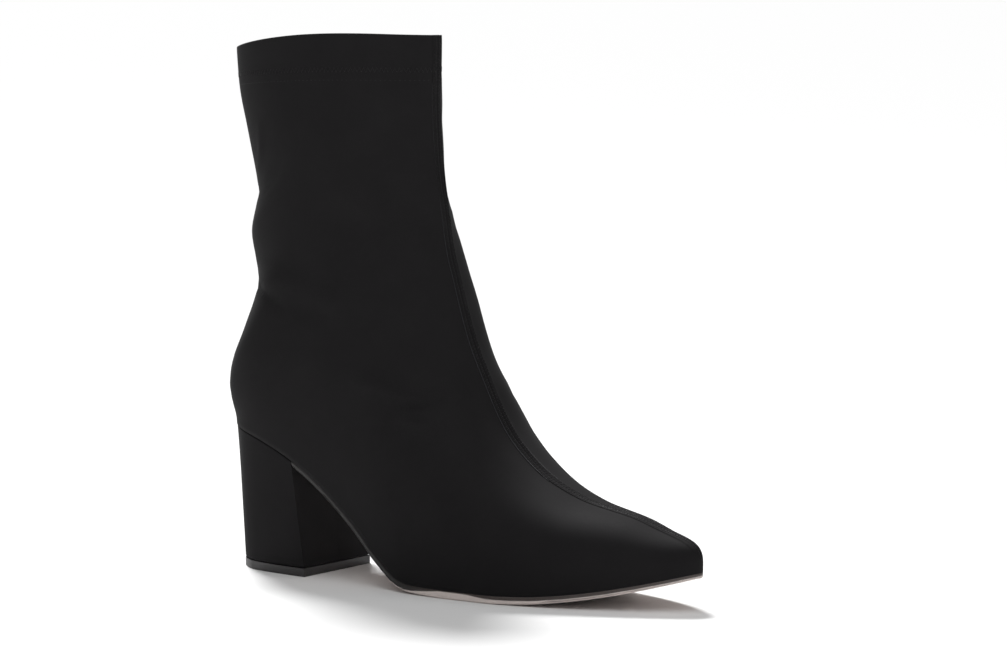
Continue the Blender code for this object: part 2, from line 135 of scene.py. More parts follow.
def copy_node(node, name):
    """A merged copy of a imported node, in quads where its grid allows."""
    piece = bpy.data.objects.new(name, frame["nodes"][node].data.copy())
    bpy.context.scene.collection.objects.link(piece)
    piece.data.name = name
    piece.data.materials.clear()
    activate(piece)
    bpy.ops.object.mode_set(mode="EDIT")
    bpy.ops.mesh.customdata_custom_splitnormals_clear()
    bpy.ops.mesh.select_all(action="SELECT")
    bpy.ops.mesh.remove_doubles(threshold=MERGE)
    bpy.ops.mesh.tris_convert_to_quads(face_threshold=WIDE_OPEN, shape_threshold=WIDE_OPEN,
                                       topology_influence=GRID_INFLUENCE)
    bpy.ops.object.mode_set(mode="OBJECT")
    return piece


def select_only(piece, kind, chosen):
    """Select the points, edges or faces with these indices, and stay in edit mode."""
    activate(piece)
    bpy.ops.object.mode_set(mode="EDIT")
    bpy.ops.mesh.select_mode(type=kind)
    bpy.ops.mesh.select_all(action="DESELECT")
    bpy.ops.object.mode_set(mode="OBJECT")
    mesh = piece.data
    parts = {"VERT": mesh.vertices, "EDGE": mesh.edges, "FACE": mesh.polygons}[kind]
    for index in chosen:
        parts[index].select = True
    bpy.ops.object.mode_set(mode="EDIT")


def sharp_edges(piece, angle):
    """The edges where two faces meet at more than an angle."""
    select_only(piece, "EDGE", [])
    bpy.ops.mesh.edges_select_sharp(sharpness=angle)
    bpy.ops.object.mode_set(mode="OBJECT")
    return [edge.index for edge in piece.data.edges if edge.select]


def crease(piece, edges):
    select_only(piece, "EDGE", edges)
    bpy.ops.transform.edge_crease(value=1.0)
    bpy.ops.object.mode_set(mode="OBJECT")


def bevel(piece, edges, width):
    select_only(piece, "EDGE", edges)
    bpy.ops.mesh.bevel(offset=width, segments=2, affect="EDGES")
    bpy.ops.object.mode_set(mode="OBJECT")


def lean(piece, edge):
    """How upright an edge stands, from 0 when level to 1 when vertical."""
    first, last = (piece.data.vertices[index].co for index in piece.data.edges[edge].vertices)
    return abs(last.z - first.z) / (last - first).length


def apply_modifier(piece, name, kind, **settings):
    activate(piece)
    modifier = piece.modifiers.new(name, kind)
    for key, value in settings.items():
        setattr(modifier, key, value)
    bpy.ops.object.modifier_apply(modifier=modifier.name)


def points_of(piece):
    flat = np.zeros(len(piece.data.vertices) * 3)
    piece.data.vertices.foreach_get("co", flat)
    return flat.reshape(-1, 3)


def normals_of(piece):
    flat = np.zeros(len(piece.data.vertices) * 3, np.float32)
    piece.data.vertex_normals.foreach_get("vector", flat)
    return flat.reshape(-1, 3).astype(float)


def move_points(piece, points):
    piece.data.vertices.foreach_set("co", points.astype(np.float32).ravel())
    piece.data.update()


def subdivide(piece):
    """Subdivide a cage so that its skin passes through the cage's own points."""
    kept = points_of(piece)
    for _ in range(FIT_ROUNDS):
        trial = bpy.data.objects.new("trial", piece.data.copy())
        bpy.context.scene.collection.objects.link(trial)
        apply_modifier(trial, "smooth", "SUBSURF", levels=1, render_levels=1)
        skin = points_of(trial)[:len(kept)]
        bpy.data.meshes.remove(trial.data)
        move_points(piece, points_of(piece) + kept - skin)
    apply_modifier(piece, "smooth", "SUBSURF", levels=SKIN_LEVELS, render_levels=SKIN_LEVELS)
    activate(piece)
    bpy.ops.object.shade_smooth()


upper = copy_node("upper", "upper_cloth")
quads = sum(len(face.vertices) == 4 for face in upper.data.polygons)
print("upper copy:", quads, "quads of", len(upper.data.polygons), "faces")

# %% [markdown]
# ## Edges of the wall
# The collar is a soft fold of cloth, so its two rims are rounded with a bevel. The lower
# rims, which the sole hides, stay crisp: a full crease keeps subdivision from rounding
# them. Select Sharp Edges finds both kinds, and their height tells them apart. The crease
# comes after the back seam, because a bevel that cuts a creased edge leaves it bare.

# %% Round the collar
RIM_ANGLE = math.radians(65.0)
COLLAR_ROUND = 0.9 * MM
COLLAR_FROM = 0.95 * cad_box[1].z

rims = sharp_edges(upper, RIM_ANGLE)


def lowest(piece, edge):
    return min(piece.data.vertices[index].co.z for index in piece.data.edges[edge].vertices)


collar = [edge for edge in rims if lowest(upper, edge) > COLLAR_FROM]
bevel(upper, collar, COLLAR_ROUND)
print("rims:", len(rims), "edges, of them at the collar:", len(collar))

# %% [markdown]
# ## Inside and outside
# The wall has two skins, the cloth's face and its back, and seams and stitches belong to
# the face alone. On a boot neither height nor width tells the two apart. So a line is
# drawn through the middle of the foot: where a point's normal leads away from it, the
# point is outside. The record lists the hollows that stay free for the foot, and the line
# runs through their middles.

# %% Draw a line through the foot
def nearest_on(line, point):
    """The nearest place to a point on a line through several points."""
    best = None
    for start, end in zip(line, line[1:]):
        along = (point - start).dot(end - start) / (end - start).length_squared
        place = start.lerp(end, min(1.0, max(0.0, along)))
        if best is None or (place - point).length < (best - point).length:
            best = place
    return best


openings = {entry["name"]: entry["box_m"] for entry in frame["record"]["physics"]["openings"]}
foot_line = [(Vector(openings[name][0]) + Vector(openings[name][1])) / 2.0
             for name in ("shaft", "ankle", "waist", "toe_box")]
foot_line[0].z = openings["shaft"][1][2]
TOE_END = Vector((118.0, 3.0, 20.0)) * MM
foot_line.append(TOE_END)


def outside(piece, index):
    """True for a point of the outer wall, whose normal leads away from the foot."""
    vertex = piece.data.vertices[index]
    return vertex.normal.dot(vertex.co - nearest_on(foot_line, vertex.co)) > 0.0


print("line through the foot:", [[round(c / MM) for c in point] for point in foot_line])

# %% [markdown]
# ## Rows at the hem
# The cloth of the collar is folded in and ends inside, so the solid has two rows of points
# close together at that height. Outside the cloth is smooth there, and close rows would
# ripple when they are subdivided. Merge by Distance makes them one, on the outside only.

# %% Even out the rows at the hem
HEM_FROM = 219.0 * MM
HEM_TO = 232.5 * MM
CLOSE_ROWS = 0.55 * MM

hem_points = [vertex.index for vertex in upper.data.vertices
              if HEM_FROM < vertex.co.z < HEM_TO and outside(upper, vertex.index)]
points_before = len(upper.data.vertices)
select_only(upper, "VERT", hem_points)
bpy.ops.mesh.remove_doubles(threshold=CLOSE_ROWS)
bpy.ops.object.mode_set(mode="OBJECT")
print("points merged at the hem:", points_before - len(upper.data.vertices))

# %% [markdown]
# ## Seam lines as edge loops
# The cloth is cut as two panels, sewn together down the front and down the back. On the
# mesh both seams are edge loops. By hand one would alt-click an edge of each. In code one
# upright edge is picked by its place, and Select Loops does the rest. Each loop is kept as
# a vertex group: subdivision later spreads its weight from 1 on the loop to 0 on the next
# one, which gives a ruler across the seam.

# %% Find the two loops
FRONT_HINT = Vector((-14.5, 0.5, 233.0)) * MM
BACK_HINT = Vector((-123.0, 0.5, 226.0)) * MM
UPRIGHT = 0.8                # how nearly vertical an edge of an upright seam is
BACK_SEAM_HALF = 0.7 * MM    # half the width of the closed seam down the back


def select_loop(piece, hint):
    """Select the edge loop that runs through the upright edge nearest to a hint."""
    best = None
    for edge in piece.data.edges:
        if lean(piece, edge.index) > UPRIGHT:
            ends = [piece.data.vertices[index].co for index in edge.vertices]
            distance = ((ends[0] + ends[1]) / 2.0 - hint).length
            if best is None or distance < best[0]:
                best = (distance, edge.index)
    select_only(piece, "EDGE", [best[1]])
    bpy.ops.mesh.loop_multi_select(ring=False)


def keep_loop(piece, name):
    """Make a vertex group of the selected loop's outer points, and return their places."""
    bpy.ops.object.mode_set(mode="OBJECT")
    mesh = piece.data
    found = {index for edge in mesh.edges if edge.select for index in edge.vertices}
    outer = [index for index in found if outside(piece, index)]
    piece.vertex_groups.new(name=name).add(outer, 1.0, "REPLACE")
    print(name, "has", len(outer), "points")
    return [mesh.vertices[index].co.copy() for index in outer]


select_loop(upper, BACK_HINT)
bpy.ops.mesh.bevel(offset=BACK_SEAM_HALF, segments=2, affect="EDGES")
bpy.ops.object.mode_set(mode="OBJECT")
crease(upper, [edge for edge in sharp_edges(upper, RIM_ANGLE)
               if lowest(upper, edge) < COLLAR_FROM / 2.0])
select_loop(upper, BACK_HINT)
keep_loop(upper, "back_seam")
select_loop(upper, FRONT_HINT)
front_line = keep_loop(upper, "front_seam")

# %% [markdown]
# ## The cloth's skin
# Two levels of subdivision turn the cage into a fine skin. A sculptor would now pull the
# folds with a brush. Here each fold is a short path over the boot with a depth and a
# width: points near the path move in or out along their normals. Distances are measured
# in the plane of the skin, so that both faces of the wall move together.

# %% Subdivide
subdivide(upper)
print("skin:", len(upper.data.polygons), "faces")

# %% Sink the seams
# The front seam sinks to a groove. The close rows of the back seam still cross each other
# in the finished skin, where that seam stands out as a ridge of about half a millimetre.
FRONT_LOOP_GAP = 1.6 * MM    # from the front seam to the next loop
GROOVE = 0.45 * MM           # depth of the butted edges at the front
GROOVE_HALF = 0.45 * MM
BACK_GROOVE = 0.35 * MM      # how far the back seam is pushed against its normals


def ruler(piece, group):
    """How far along the way from the next loop to a seam each point is, from 0 to 1."""
    index = piece.vertex_groups[group].index
    weights = np.zeros(len(piece.data.vertices))
    for vertex in piece.data.vertices:
        for entry in vertex.groups:
            if entry.group == index:
                weights[vertex.index] = entry.weight
    return weights


front_ruler = ruler(upper, "front_seam")
across = (1.0 - front_ruler) * FRONT_LOOP_GAP
sink = GROOVE * np.exp(-(across / GROOVE_HALF) ** 2) * (front_ruler > 0.0)
sink += BACK_GROOVE * ruler(upper, "back_seam") ** 2
move_points(upper, points_of(upper) - normals_of(upper) * sink[:, None])
print("deepest groove:", round(sink.max() / MM, 2), "mm")

# %% Fold the cloth
# Places are in millimetres on the outer side. depth is positive for a trough and
# negative for a ridge, width is how far it spreads, and head and tail say how much of
# it is left at the path's two ends.
Fold = namedtuple("Fold", "name depth width head tail path")
FOLDS = [
    Fold("ankle_crease", 1.3, 1.9, 0.9, 0.0,
         [(-112, -12, 131), (-104, -20, 131.5), (-96.3, -25.3, 130.7), (-90.5, -29.8, 128.5),
          (-82, -32, 124.5), (-73, -32.4, 121)]),
    Fold("ankle_roll", -1.4, 5.0, 0.6, 0.0,
         [(-110, -14, 137.5), (-94.6, -25.2, 136.5), (-79.3, -31.4, 135.4),
          (-68.1, -31.2, 133.6), (-56.2, -30.6, 130), (-42, -30.4, 125)]),
    Fold("ankle_hollow", 0.7, 5.0, 0.4, 0.0,
         [(-76, -32, 120), (-66, -32, 121.5), (-56, -31.5, 121), (-44, -31, 117)]),
    Fold("shaft_crease", 0.9, 3.0, 1.0, 0.0,
         [(-111, -6, 172), (-104, -16, 173), (-95, -23, 175), (-88, -26, 179), (-79, -28, 187)]),
    Fold("shaft_pull", -0.6, 2.2, 0.0, 0.6,
         [(-96, -23.4, 207), (-97, -22, 193), (-101, -18.5, 184)]),
    Fold("shaft_roll", -1.1, 5.0, 0.0, 0.0,
         [(-54, -29, 181), (-40, -23.5, 173), (-32, -19.3, 170), (-24, -15.4, 169),
          (-15, -8, 164)]),
    Fold("shaft_hollow", 0.8, 5.0, 0.0, 0.0,
         [(-62, -30, 172), (-48, -28, 164), (-36, -23, 160), (-24, -17, 157)]),
    Fold("instep_roll", -1.9, 3.8, 0.0, 0.0,
         [(-38, -33.6, 93), (-20.4, -31.6, 91.2), (-11, -29.4, 88.5), (-2.8, -25.6, 87.3),
          (6, -17, 90)]),
    Fold("instep_crease", 1.4, 3.0, 0.0, 0.0,
         [(-16, -31, 84), (-3.8, -28, 82.1), (3.8, -23.4, 83.1), (9, -17, 85)]),
    Fold("vamp_roll", -1.5, 3.0, 0.0, 0.0,
         [(-11, -31.5, 80), (-2.9, -29.2, 77.4), (3.7, -27.1, 75.8), (10, -25, 73)]),
    Fold("vamp_hollow", 1.3, 4.2, 0.0, 0.0,
         [(-18, -33.5, 73), (-6.2, -32.2, 70.3), (3.6, -30.7, 67.3), (12, -27.2, 67.5),
          (19, -20, 69)]),
]
# The inner side is calmer: it has the same folds, lower and a little further down.
INNER_SHARE = 0.45
INNER_DROP = 3.0
FOLD_REACH = 8.0 * MM        # a fold fades out on skin that lies this far off its path
FADE = 4                     # the higher, the more sudden that is
NEAREST = 4                  # the higher, the less a path's further pieces count
SWELL = 0.7                  # below 1 a fold keeps its depth closer to its ends
NO_WEIGHT = 1e-12            # instead of zero, where no piece of the path is near


def inner_fold(fold):
    path = [(x, -y, z - INNER_DROP) for x, y, z in fold.path]
    return fold._replace(name="inner_" + fold.name, depth=fold.depth * INNER_SHARE, path=path)


def fold_push(points, normals, fold):
    """How far each point moves along its normal for one fold."""
    path = np.array(fold.path) * MM
    lengths = np.linalg.norm(np.diff(path, axis=0), axis=1)
    reached = np.concatenate([[0.0], np.cumsum(lengths)])
    near, place = np.zeros(len(points)), np.zeros(len(points))
    weight = np.full(len(points), NO_WEIGHT)
    for start, end, before, length in zip(path, path[1:], reached, lengths):
        along = np.clip((points - start) @ (end - start) / length ** 2, 0.0, 1.0)
        gap = points - (start + along[:, None] * (end - start))
        off = np.sum(gap * normals, axis=1)
        distance = np.linalg.norm(gap - normals * off[:, None], axis=1)
        share = np.exp(-(distance / (fold.width * MM)) ** 2 - (off / FOLD_REACH) ** FADE)
        near = np.maximum(near, share)
        weight += share ** NEAREST
        place += share ** NEAREST * (before + along * length) / reached[-1]
    place /= weight
    swell = np.sin(np.pi * place) ** SWELL
    ends = fold.head * (1.0 - place) ** 2 + fold.tail * place ** 2
    strength = np.maximum(swell, ends)
    return -fold.depth * MM * strength * near


points, normals = points_of(upper), normals_of(upper)
foot = np.array([nearest_on(foot_line, Vector(point)) for point in points])
facing = np.sign(np.sum(normals * (points - foot), axis=1))
outward = normals * facing[:, None]
near_side = points[:, 1] < foot[:, 1]
push = np.zeros(len(points))
for fold in FOLDS:
    push += fold_push(points, outward, fold) * near_side
    push += fold_push(points, outward, inner_fold(fold)) * ~near_side
move_points(upper, points + outward * push[:, None])
print(len(FOLDS), "folds on each side, from", round(push.min() / MM, 2), "to",
      round(push.max() / MM, 2), "mm")

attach(upper, "root")
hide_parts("upper")

# %% [markdown]
# ## Threads
# The front seam is two butted edges with a zigzag of thread on either side. The hem is
# held by a zigzag and, a little lower, a row of straight stitches. Stitches could be
# painted with a bump, but here they are real thread: points are laid on the skin, a
# curve runs through them, and its bevel gives the thread its thickness. All threads of
# one seam are one curve, which is converted to a mesh at the end.

# %% Helpers for thread
THREAD_RADIUS = 0.17 * MM
THREAD_LIFT = 0.06 * MM      # middle of the thread above the skin
skin_tree = BVHTree.FromObject(upper, bpy.context.evaluated_depsgraph_get())


def on_skin(point, lift):
    place, normal, _, _ = skin_tree.find_nearest(point)
    return place + normal * lift


def thread(name, paths, radius=THREAD_RADIUS, closed=False):
    """Thread laid along one or several paths, as thin tubes in one mesh."""
    curve = bpy.data.curves.new(name, "CURVE")
    curve.dimensions = "3D"
    curve.bevel_depth = radius
    curve.bevel_resolution = 1
    curve.use_fill_caps = not closed
    for path in paths:
        spline = curve.splines.new("POLY")
        spline.points.add(len(path) - 1)
        for point, place in zip(spline.points, path):
            point.co = (*place, 1.0)
        spline.use_cyclic_u = closed
    piece = bpy.data.objects.new(name, curve)
    bpy.context.scene.collection.objects.link(piece)
    activate(piece)
    bpy.ops.object.convert(target="MESH")
    bpy.ops.object.shade_smooth()
    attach(piece, "root")
    print(name, "has", len(piece.data.polygons), "faces")
    return piece


def spaced(line, step):
    """Points at even steps along a line, with the way it runs at each."""
    line = np.array(line)
    reached = np.concatenate([[0.0], np.cumsum(np.linalg.norm(np.diff(line, axis=0), axis=1))])
    count = int(reached[-1] / step)
    at = np.linspace(0.0, reached[-1], count + 1)
    places = np.stack([np.interp(at, reached, line[:, axis]) for axis in range(3)], axis=1)
    ways = np.gradient(places, axis=0)
    return [(Vector(place), Vector(way).normalized()) for place, way in zip(places, ways)]


# %% Sew the front seam
FRONT_PITCH = 1.5 * MM
FRONT_NEAR = 0.5 * MM        # where the zigzag turns beside the butted edges
FRONT_FAR = 2.7 * MM
TIP_TAPER = 30.0 * MM        # length over which the zigzag widens behind the tip
TIP_SHARE = 0.35             # of its width that is left at the tip

front_line.sort(key=lambda point: -point.z)
front_steps = spaced(front_line, FRONT_PITCH / 2.0)
threads = []
for side_name, side in (("outer", -1.0), ("inner", 1.0)):
    path = []
    for step, (place, way) in enumerate(front_steps):
        out = (place - nearest_on(foot_line, place)).normalized()
        across = way.cross(out).normalized()
        if across.y < 0.0:
            across.negate()
        room = min(1.0, TIP_SHARE + (cad_box[1].x - place.x) / TIP_TAPER)
        reach = FRONT_NEAR if step % 2 else FRONT_FAR * room
        path.append(on_skin(place + across * side * reach, THREAD_LIFT))
    threads.append(thread("front_stitch_" + side_name, [path]))

# %% Draw the hem's line
# From all round, rays go in towards the middle of the shaft and stop at the skin. The hem
# climbs from the back to the front and is a little higher on the outer side.
HEM_BACK = 224.1 * MM
HEM_FRONT = 229.0 * MM
HEM_OUTER = 1.9 * MM
HEM_RAYS = 120
shaft_box = openings["shaft"]
axis = (Vector(shaft_box[0]) + Vector(shaft_box[1])) / 2.0


def ray_to_skin(way, height):
    """The place of the skin that a level ray towards the shaft's middle meets first."""
    start = Vector((axis.x, axis.y, height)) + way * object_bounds()[1].x
    return skin_tree.ray_cast(start, -way)[0]


hem_line = []
turns = [2.0 * math.pi * step / HEM_RAYS for step in range(HEM_RAYS)]
ways = [Vector((math.cos(turn), math.sin(turn), 0.0)) for turn in turns]
level = [ray_to_skin(way, HEM_BACK) for way in ways]
for way, place in zip(ways, level):
    climb = (place.x - level[HEM_RAYS // 2].x) / (level[0].x - level[HEM_RAYS // 2].x)
    outer = max(0.0, (axis.y - place.y) / (axis.y - min(p.y for p in level)))
    height = HEM_BACK + (HEM_FRONT - HEM_BACK) * climb + HEM_OUTER * outer ** 2
    hem_line.append(ray_to_skin(way, height))
ring = hem_line + hem_line[:1]
print("hem from", round(min(p.z for p in ring) / MM, 1), "to",
      round(max(p.z for p in ring) / MM, 1), "mm")

# %% Sew the hem
HEM_PITCH = 2.0 * MM
HEM_RISE = 1.0 * MM          # middle of the zigzag above the hem's line
HEM_TALL = 1.05 * MM         # half its height
HEM_THREAD = 0.14 * MM
HEM_SINK = 0.02 * MM         # the stretch of the hem pulls its thread into the knit
ROW_DROP = 3.6 * MM          # straight row below the line
ROW_STITCH = 2.2 * MM
ROW_SPACE = 0.45             # share of a stitch between it and the next
ROW_THREAD = 0.1 * MM
ROW_ENDS = -ROW_THREAD       # a stitch goes into the cloth at both ends
ROW_MIDDLE = -ROW_THREAD / 3.0

zigzag = []
for step, (place, _) in enumerate(spaced(ring, HEM_PITCH / 2.0)[:-1]):
    height = HEM_RISE + (HEM_TALL if step % 2 else -HEM_TALL)
    zigzag.append(on_skin(place + Vector((0.0, 0.0, height)), -HEM_SINK))
threads.append(thread("hem_zigzag", [zigzag], HEM_THREAD, closed=True))
dashes = []
for place, way in spaced(ring, ROW_STITCH)[:-1]:
    low = place - Vector((0.0, 0.0, ROW_DROP))
    half = way * ROW_STITCH * (0.5 - ROW_SPACE / 2.0)
    dashes.append([on_skin(low - half, ROW_ENDS), on_skin(low, ROW_MIDDLE),
                   on_skin(low + half, ROW_ENDS)])
threads.append(thread("hem_row", dashes, ROW_THREAD))

# %% [markdown]
# ## The lining
# A thin, smooth lining covers the inside below the hem. The real one is a second sock,
# cut smaller. Here it is peeled off the dressed wall: a copy of the upper keeps only its
# inner faces, Bisect cuts them off straight below the hem, and Solidify makes them a
# sheet of their own. Peeling it off after the folds are made is what keeps the two from
# cutting through each other.

# %% Peel off the lining
LINING = 0.3 * MM
LINING_GAP = 0.08 * MM
LINING_TOP = -5.0 * MM       # below the hem's line
LINING_TOE = 112.0 * MM

lining = bpy.data.objects.new("lining", upper.data.copy())
bpy.context.scene.collection.objects.link(lining)

dropped = []
for face in lining.data.polygons:
    inner = face.normal.dot(face.center - nearest_on(foot_line, face.center)) < 0.0
    if not (inner and face.center.x < LINING_TOE):
        dropped.append(face.index)
select_only(lining, "FACE", dropped)
bpy.ops.mesh.delete(type="FACE")
hem_back, hem_front = hem_line[HEM_RAYS // 2], hem_line[0]
slope = (hem_front.z - hem_back.z) / (hem_front.x - hem_back.x)
bpy.ops.mesh.select_all(action="SELECT")
bpy.ops.mesh.bisect(plane_co=hem_back + Vector((0.0, 0.0, LINING_TOP)),
                    plane_no=(-slope, 0.0, 1.0), clear_outer=True)
bpy.ops.object.mode_set(mode="OBJECT")
move_points(lining, points_of(lining) + normals_of(lining) * LINING_GAP)
apply_modifier(lining, "sheet", "SOLIDIFY", thickness=LINING, offset=1.0)
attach(lining, "root")
print("lining:", len(lining.data.polygons), "faces")

# %% [markdown]
# ## Insole, heel and lift
# These three are plain blocks with softened edges. The insole's sharp edges are creased
# before subdivision, so that it rounds the outline and leaves the corners alone, and are
# bevelled afterwards. The heel and its lift have their bevels from the solid. Only their
# round back is in facets, and Subdivide with full smoothness cuts these finer and puts
# the new points on the curve that the old points' normals give. Weighted normals then
# keep the flat faces flat beside the narrow bevels.

# %% Soften the insole
INSOLE_ROUND = 0.4 * MM
EDGE_ANGLE = math.radians(50.0)

insole = copy_node("insole", "insole_sock")
crease(insole, sharp_edges(insole, EDGE_ANGLE))
subdivide(insole)
bevel(insole, sharp_edges(insole, EDGE_ANGLE), INSOLE_ROUND)
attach(insole, "root")
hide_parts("insole")
print("insole:", len(insole.data.polygons), "faces")

# %% Cover the heel
# The cover's two edges meet in an upright seam in the middle of the breast, the heel's
# front face. Three cuts across that face and a middle cut pushed in make the seam.
COVER_SEAM_Y = 1.8 * MM
COVER_SEAM_HALF = 0.5 * MM
COVER_SEAM_DEPTH = 0.4 * MM
FACES_FRONT = 0.85
BACK_FROM = -85.0 * MM       # the round back begins behind this
BACK_BEND = math.radians(3.0)
BACK_CUTS = 3
LARGE_FIRST = 100            # weight of large faces when normals are evened out


def round_back(piece):
    """Cut the facets of the round back finer, on the curve they stand for."""
    edges = []
    for edge in sharp_edges(piece, BACK_BEND):
        ends = [piece.data.vertices[index].co for index in piece.data.edges[edge].vertices]
        if lean(piece, edge) < UPRIGHT and max(end.x for end in ends) < BACK_FROM:
            edges.append(edge)
    select_only(piece, "EDGE", edges)
    bpy.ops.mesh.subdivide(number_cuts=BACK_CUTS, smoothness=1.0)
    bpy.ops.object.mode_set(mode="OBJECT")
    bpy.ops.object.shade_smooth()
    print(piece.name, "has", len(edges), "edges rounded,", len(piece.data.polygons), "faces")


def even_normals(piece):
    apply_modifier(piece, "even", "WEIGHTED_NORMAL", weight=LARGE_FIRST)


heel = copy_node("heel_block", "heel_cover")
round_back(heel)
for cut in (-COVER_SEAM_HALF, 0.0, COVER_SEAM_HALF):
    breast = [face.index for face in heel.data.polygons if face.normal.x > FACES_FRONT]
    select_only(heel, "FACE", breast)
    bpy.ops.mesh.bisect(plane_co=(0.0, COVER_SEAM_Y + cut, 0.0), plane_no=(0.0, 1.0, 0.0))
    bpy.ops.object.mode_set(mode="OBJECT")
for vertex in heel.data.vertices:
    if abs(vertex.co.y - COVER_SEAM_Y) < MERGE and vertex.normal.x > FACES_FRONT:
        vertex.co.x -= COVER_SEAM_DEPTH
even_normals(heel)
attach(heel, "root")
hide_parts("heel_block")

# %% Round the top lift
def stand(piece):
    """Keep a piece's lowest points on the floor."""
    points = points_of(piece)
    points[:, 2] = np.maximum(points[:, 2], 0.0)
    move_points(piece, points)


lift = copy_node("top_lift", "lift_dressed")
round_back(lift)
stand(lift)
even_normals(lift)
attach(lift, "root")
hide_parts("top_lift")

# %% [markdown]
# ## The outsole
# The sole is pale resin, and its edge is painted dark brown from the top down. Under the
# ball the paint stops short and leaves a pale band, which narrows to the toe and runs out
# at the waist. The line between them is no edge of the mesh, so it is kept as a number on
# each point, above zero where the paint is, and the material draws the line where that
# number passes zero.

# %% Shape the sole
SOLE_ROUND = 0.8 * MM
FACES_UP = 0.5
GLUE = 0.3 * MM              # the solids' gap, which glue fills under the real upper
HALF_UP = 0.5                # of the edge's height, between its foot and its top

sole = copy_node("outsole", "outsole_dressed")
rim_points = {index for face in sole.data.polygons if face.normal.z > FACES_UP
              for index in face.vertices}
sole.vertex_groups.new(name="edge_top").add(list(rim_points), 1.0, "REPLACE")
crease(sole, sharp_edges(sole, EDGE_ANGLE))
subdivide(sole)
up_edge = ruler(sole, "edge_top")
move_points(sole, points_of(sole) + np.outer(up_edge, (0.0, 0.0, GLUE)))
low_edges = [edge for edge in sharp_edges(sole, EDGE_ANGLE)
             if all(up_edge[index] < HALF_UP for index in sole.data.edges[edge].vertices)]
bevel(sole, low_edges, SOLE_ROUND)
stand(sole)
print("outsole:", len(sole.data.polygons), "faces,", len(low_edges), "lower edges rounded")

# %% Mark the paint
# How far up the edge the paint ends, from 0 at the rounded foot to 1 at the top, by place
# along the boot in millimetres. At the waist the edge's dark colour also covers the
# rounded lower edge. The ruler is read again, because the bevel has added points.
PAINT_ENDS = [(-42, -0.3), (-20, -0.3), (-14, 0.22), (-4, 0.32),
              (4, 0.6), (12, 0.9), (26, 0.85), (36, 0.6), (46, 0.5), (124, 0.45)]
UNPAINTED = -0.1             # or less, on the underside
LOWER_EDGE_DARK_BEHIND = -14.0 * MM     # behind this the lower edge takes the edge's dark colour too
up_edge = ruler(sole, "edge_top")
places = points_of(sole)
numbers = up_edge - np.interp(places[:, 0] / MM, *zip(*PAINT_ENDS))
under, beside = ({index for face in sole.data.polygons if (face.normal.z < -FACES_UP) == down
                  for index in face.vertices} for down in (True, False))
under -= {index for index in beside if places[index, 0] < LOWER_EDGE_DARK_BEHIND}
under = sorted(under)
numbers[under] = np.minimum(numbers[under], UNPAINTED)
paint = sole.data.attributes.new("paint", "FLOAT", "POINT")
paint.data.foreach_set("value", numbers.astype(np.float32))
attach(sole, "root")
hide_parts("outsole")
print("paint number from", round(float(numbers.min()), 2), "to",
      round(float(numbers.max()), 2))

# %% [markdown]
# ## Materials
# Colours are written as they look on a screen and turned to the linear values that a
# shader adds up. One small function adds a node, sets its values and links its inputs,
# so that a material reads as a list of what it is made of. Patterns use Object
# coordinates, which are metres here, so a grain of so many millimetres has a scale of
# 1000 divided by its size.

# %% Helpers for materials
def linear(colour):
    """A hex colour as linear values with full opacity."""
    parts = [int(colour[place:place + 2], 16) / 255.0 for place in (1, 3, 5)]
    return (*[part / 12.92 if part <= 0.04045 else ((part + 0.055) / 1.055) ** 2.4
              for part in parts], 1.0)


def add_node(tree, kind, values=None, links=None):
    """Add a node, set its values by name or number of the input, and link its inputs."""
    node = tree.nodes.new("ShaderNode" + kind)
    for key, value in (values or {}).items():
        if isinstance(key, int) or key in node.inputs:
            node.inputs[key].default_value = value
        else:
            setattr(node, key, value)
    for key, socket in (links or {}).items():
        tree.links.new(socket, node.inputs[key])
    return node


def new_material(name, values, *pieces):
    """A Principled material with its constant values, on one or several pieces."""
    material = bpy.data.materials.new(name)
    material.use_nodes = True
    shader = material.node_tree.nodes["Principled BSDF"]
    for key, value in values.items():
        shader.inputs[key].default_value = value
    for piece in pieces:
        piece.data.materials.append(material)
    print("made", name, "for", ", ".join(piece.name for piece in pieces))
    return material.node_tree, shader


def scale_of(millimetres):
    """The scale of a pattern whose grain is so many millimetres."""
    return 1.0 / (millimetres * MM)


# %% [markdown]
# ## Scuba knit
# The upper and the heel's cover are scuba knit, a dense double knit of polyamide and
# elastane, dyed black. It gives the eye a deep, nearly even black with a fine tooth, hardly
# any gloss, and a faint bloom where the cloth turns away, as brushed yarn has. Loops could
# be drawn one by one on a UV map. At this size noise in Object coordinates looks the same,
# and it runs on over the seams without a break.

# %% Make the scuba knit
KNIT_GRAIN = 0.9             # mm: loops of half a millimetre, drawn coarser to show
KNIT_MOTTLE = 22.0           # mm: soft patches where the cloth was stretched more or less
KNIT_TOOTH = 0.06 * MM       # height of the grain
tree, shader = new_material("scuba_knit_black", {
    "IOR": 1.5, "Specular IOR Level": 0.035, "Sheen Weight": 0.03,
    "Sheen Roughness": 0.45}, upper, heel)
place = add_node(tree, "TexCoord")
grain = add_node(tree, "TexNoise", {"Scale": scale_of(KNIT_GRAIN), "Detail": 2.0},
                 {"Vector": place.outputs["Object"]})
mottle = add_node(tree, "TexNoise", {"Scale": scale_of(KNIT_MOTTLE), "Detail": 3.0},
                  {"Vector": place.outputs["Object"]})
tone = add_node(tree, "MixRGB", {"Color1": linear("#1b1a1b"), "Color2": linear("#212021")},
                {"Fac": mottle.outputs["Fac"]})
gloss = add_node(tree, "MapRange", {"To Min": 0.6, "To Max": 0.74},
                 {"Value": grain.outputs["Fac"]})
bump = add_node(tree, "Bump", {"Strength": 0.25, "Distance": KNIT_TOOTH},
                {"Height": grain.outputs["Fac"]})
tree.links.new(tone.outputs["Color"], shader.inputs["Base Color"])
tree.links.new(gloss.outputs["Result"], shader.inputs["Roughness"])
tree.links.new(bump.outputs["Normal"], shader.inputs["Normal"])
